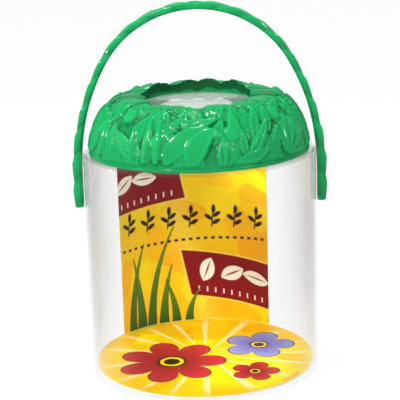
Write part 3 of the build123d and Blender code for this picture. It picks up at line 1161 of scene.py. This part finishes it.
def wall_sprigs(u, v):
    """Distance outside a row of leafy sprigs over a row of beads."""
    hop = u % SPRIG_PITCH - SPRIG_PITCH / 2
    rise = v - SPRIG_LEVEL
    sprig = both(abs(hop - rise * STEM_LEAN) - STEM_WIDTH / 2, abs(rise) - STEM_LENGTH / 2)
    for across, along, turn in SPRIG_LEAVES:
        sprig = either(sprig, oval(hop - across, rise - along, turn, *SPRIG_LEAF))
    beads = both(stripes(u, BEAD_PITCH, BEAD_WIDTH), band(v - u * BEAD_SLOPE, BEAD_LOW, BEAD_HIGH))
    return either(sprig, beads)


def wall_card_print():
    """Printed wall card: yellow and orange shards with painted shade to one side, slanted maroon panels, a
    row of sprigs, and grass.
    """
    finish = new_finish("wall_print")
    coordinates = finish.coordinates()
    x, y, z = finish.place(coordinates)
    u = x.math("ARCTAN2", y) * WALL_PRINT_RADIUS
    v = z - CARD_TOP
    colour = wall_ground(finish, u, v)
    for panel in PANELS:
        colour = wall_panel(finish, colour, u, v, *panel)
    colour = finish.over(colour, wall_sprigs(u, v), FINE_EDGE, SPRIG_BROWN)
    for root, tip, lean, wide in GRASS:
        rise = finish.clamp(v / tip)
        blade = both(abs(u - root - rise * rise * lean) - (1 - rise) * wide, v - tip)
        colour = finish.over(colour, blade - GRASS_OUTLINE, FINE_EDGE, GRASS_DARK)
        colour = finish.over(colour, blade, FINE_EDGE, finish.mix(rise, GRASS_ROOT, GRASS_TIP))
    colour = finish.over(colour, WALL_CARD_MIDDLE - length(x, y), CARD_EDGE, PLAIN_CARD)
    return printed_card(finish, coordinates, colour, WALL_PRINT_ROUGHNESS)


# Floor card: ground inks, and places and sizes in millimetres
FLOOR_PRINT_ROUGHNESS = 0.4
FLOOR_LEMON = ink(255, 228, 6)
FLOOR_ORANGE = ink(255, 194, 2)
FLOOR_OCHRE = ink(240, 168, 14)
FLOOR_GLEAM = ink(255, 242, 176)
FLOOR_CREAM = ink(250, 240, 214)
FLOOR_SHARD = 15.0
FLOOR_SHARD_LEAN = 0.3
FLOOR_SHARD_SLOPE = 0.2
BEHIND_START = -10.0
BEHIND_WIDTH = 70.0
BEHIND_SHARE = 0.6
RAY_COUNT = 17.0
RAY_SWAY, RAY_SWAY_COUNT = 1.5, 3.0
RAY_FROM, RAY_SOFT = 0.84, 0.2
RAY_START, RAY_START_SOFT = 12.0, 16.0
RAY_END, RAY_END_SOFT = 56.0, 10.0
RAY_SHARE = 0.75
FLOOR_BORDER = 61.0

# Blossoms of the floor card: inks of petal ends, petal roots and heart, then place, size and petals
RED_BLOSSOM = (ink(196, 34, 50), ink(132, 8, 24), ink(22, 12, 14))
LILAC_BLOSSOM = (ink(146, 142, 206), ink(98, 90, 160), ink(48, 38, 84))
BLOSSOMS = (
    (-19.0, -9.0, 30.0, 7, RED_BLOSSOM),
    (31.0, 14.0, 20.0, 5, LILAC_BLOSSOM),
    (27.0, -27.0, 13.0, 5, RED_BLOSSOM),
)
BLOSSOM_DARK = ink(30, 10, 16)
BLOSSOM_GOLD = ink(254, 204, 10)
BLOSSOM_OUTLINE = 0.8
PETAL_ROUND = 0.55
PETAL_LENGTH = 0.5
FOLD_HALF = 0.35
FOLD_REACH, FOLD_SOFT = 0.7, 1.0
HEART_SIZE = 0.28
RING_SIZE = 0.19
RING_HALF = 0.035


def floor_ground(finish, x, y):
    """Yellow and orange shards that darken towards the back, thin pale rays and a pale border."""
    far = length(x, y)
    angle = y.math("ARCTAN2", x)
    shard = shards(x + y * FLOOR_SHARD_LEAN, y - x * FLOOR_SHARD_SLOPE, FLOOR_SHARD)
    behind = finish.clamp((y - BEHIND_START) / BEHIND_WIDTH)
    colour = finish.mix(shard, FLOOR_LEMON, FLOOR_ORANGE)
    colour = finish.mix(behind * shard * BEHIND_SHARE, colour, FLOOR_OCHRE)
    ray = (angle * RAY_COUNT + (angle * RAY_SWAY_COUNT).math("SINE") * RAY_SWAY).math("COSINE")
    within = finish.inside(far - RAY_END, RAY_END_SOFT) * finish.inside(RAY_START - far, RAY_START_SOFT)
    glow = finish.inside(RAY_FROM - ray, RAY_SOFT) * within
    colour = finish.mix(glow * RAY_SHARE, colour, FLOOR_GLEAM)
    return finish.over(colour, FLOOR_BORDER - far, FINE_EDGE, FLOOR_CREAM)


def blossom(finish, colour, across, along, size, petals, inks):
    """A blossom over a colour: outlined petals with a dark fold each, and a heart with a gold ring."""
    pale, deep, heart = inks
    bearing = along.math("ARCTAN2", across) * (petals / 2)
    reach = length(across, along)
    lobe = abs(bearing.math("COSINE")) ** PETAL_ROUND
    away = reach - (1 - PETAL_LENGTH + PETAL_LENGTH * lobe) * size
    petal = finish.mix(finish.clamp(reach / size), deep, pale)
    fold = finish.inside(abs(bearing.math("SINE")) * reach - FOLD_HALF, FINE_EDGE)
    fold = fold * finish.inside(reach - size * FOLD_REACH, FOLD_SOFT)
    colour = finish.over(colour, away - BLOSSOM_OUTLINE, BROAD_EDGE, BLOSSOM_DARK)
    colour = finish.over(colour, away, BROAD_EDGE, petal)
    colour = finish.mix(fold * finish.inside(away, BROAD_EDGE), colour, heart)
    colour = finish.over(colour, reach - size * HEART_SIZE, BROAD_EDGE, heart)
    return finish.over(colour, abs(reach - size * RING_SIZE) - size * RING_HALF, BROAD_EDGE, BLOSSOM_GOLD)


def floor_card_print():
    """Printed floor card: yellow sunburst with thin pale rays, and dark red and lilac blossoms."""
    finish = new_finish("floor_print")
    coordinates = finish.coordinates()
    x, y, z = finish.place(coordinates)
    colour = floor_ground(finish, x, y)
    for across, along, *rest in BLOSSOMS:
        colour = blossom(finish, colour, x - across, y - along, *rest)
    colour = finish.over(colour, z - (FLOOR_Z + CARD_HALF), CARD_EDGE, PLAIN_CARD)
    return printed_card(finish, coordinates, colour, FLOOR_PRINT_ROUGHNESS)


# Studio

WHITE = (1.0, 1.0, 1.0, 1.0)
FLOOR_GREY = (0.9, 0.9, 0.9, 1.0)
SURROUND_LIGHT = 0.55
FLOOR_WHITE = 0.94
FLOOR_SIZE = 8.0
# Lamps: name, place in metres, power in watts and size in metres
LAMPS = (
    ("key", (-0.6, -0.8, 0.95), 11.0, 0.2),
    ("fill", (0.9, -0.7, 0.75), 2.7, 0.22),
    ("side", (-1.0, -0.55, 0.42), 1.8, 0.08),
    ("edge", (-1.1, 0.15, 0.5), 1.8, 0.08),
    ("top", (-0.1, 0.1, 1.2), 8.0, 0.16),
)
LAMP_AIM = (0, 0, 0.12)


def seen_ray(finish):
    """1 for rays that show the white surround: straight from the camera, mirrored or through glass."""
    seen = finish.node("ShaderNodeLightPath", out="Is Camera Ray")
    for kind in ("Is Glossy Ray", "Is Transmission Ray"):
        seen = seen.math("MAXIMUM", finish.node("ShaderNodeLightPath", out=kind))
    return seen


def studio():
    """Pale floor in a white surround, three main lamps, and two small ones at the left for glints."""
    world = bpy.data.worlds.new("studio")
    bpy.context.scene.world = world
    surround = Finish(world, "ShaderNodeOutputWorld")
    levels = {"Value": seen_ray(surround), "To Min": SURROUND_LIGHT, "To Max": 1.0}
    strength = surround.node("ShaderNodeMapRange", levels)
    surround.surface(surround.node("ShaderNodeBackground", {"Color": WHITE, "Strength": strength}))

    finish = new_finish("studio_floor")
    matt = finish.node("ShaderNodeBsdfDiffuse", {"Color": FLOOR_GREY})
    white = finish.node("ShaderNodeEmission", {"Color": WHITE, "Strength": 1.0})
    floor_material = finish.surface(finish.blend(seen_ray(finish) * FLOOR_WHITE, matt, white))
    bpy.ops.mesh.primitive_plane_add(size=FLOOR_SIZE, location=(0, 0, 0))
    floor = bpy.context.object
    floor.name = "floor"
    floor.data.materials.append(floor_material)

    for name, place, power, size in LAMPS:
        lamp = bpy.data.lights.new(name, "AREA")
        lamp.energy = power
        lamp.size = size
        lamp_object = bpy.data.objects.new(name, lamp)
        lamp_object.location = place
        aim = Vector(LAMP_AIM) - Vector(place)
        lamp_object.rotation_euler = aim.to_track_quat("-Z", "Y").to_euler()
        bpy.context.scene.collection.objects.link(lamp_object)


# Camera, fitted to the photograph's view
VIEW_DISTANCE = 0.75
VIEW_ELEVATION = math.radians(14.48)
VIEW_ROLL = math.radians(1.8)
VIEW_CENTRE = Vector((-0.0004, 0.0, 0.0941))
FOCAL_PIXELS = 1358.7
FRAME_PIXELS = 400
SENSOR_MM = 36.0


def photo_camera():
    """Camera in front of the jar and above it, rolled a little, as the photograph was taken."""
    camera = bpy.data.cameras.new("photo_view")
    camera.sensor_width = SENSOR_MM
    camera.lens = FOCAL_PIXELS * SENSOR_MM / FRAME_PIXELS
    camera_object = bpy.data.objects.new("photo_view", camera)
    back = Vector((0, -math.cos(VIEW_ELEVATION), math.sin(VIEW_ELEVATION)))
    right = Vector((1, 0, 0))
    up = Vector((0, math.sin(VIEW_ELEVATION), math.cos(VIEW_ELEVATION)))
    tilted_right = right * math.cos(VIEW_ROLL) - up * math.sin(VIEW_ROLL)
    tilted_up = right * math.sin(VIEW_ROLL) + up * math.cos(VIEW_ROLL)
    turn = Matrix((tilted_right, tilted_up, back)).transposed().to_4x4()
    camera_object.matrix_world = Matrix.Translation(VIEW_CENTRE + back * VIEW_DISTANCE) @ turn
    bpy.context.scene.collection.objects.link(camera_object)
    bpy.context.scene.camera = camera_object


# Putting it together

def dress(piece, body, slot, material, *nodes):
    """Gives a new piece its finish and its body, and hides the CAD solids it stands for."""
    piece.data.materials.clear()
    piece.data.materials.append(material)
    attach(piece, body)
    if nodes:
        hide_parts(*nodes)


def coat(node, material):
    """Gives a CAD node a better material."""
    for slot in frame["nodes"][node].material_slots:
        slot.material = material


green = leaf_green_plastic()
jar_clear = clear_wall()
lens_clear = lens_plastic()
dress(lid_shape(), "lid", "leaf_green", green, "lid_dome")
dress(handle_shape(), "handle", "leaf_green", green, "carry_handle")
dress(jar_shape(), "jar", "clear_plastic", jar_clear, "jar_body", "neck_collar")
for hand in (1, -1):
    dress(peg_shape(hand), "jar", "clear_plastic", jar_clear)
dress(lens_shape(), "lid", "lens_acrylic", lens_clear, "magnifier_lens")
coat("lens_retainer", green)
coat("wrap_card", wall_card_print())
coat("base_card", floor_card_print())
studio()
photo_camera()

bpy.context.scene.view_settings.view_transform = "Standard"
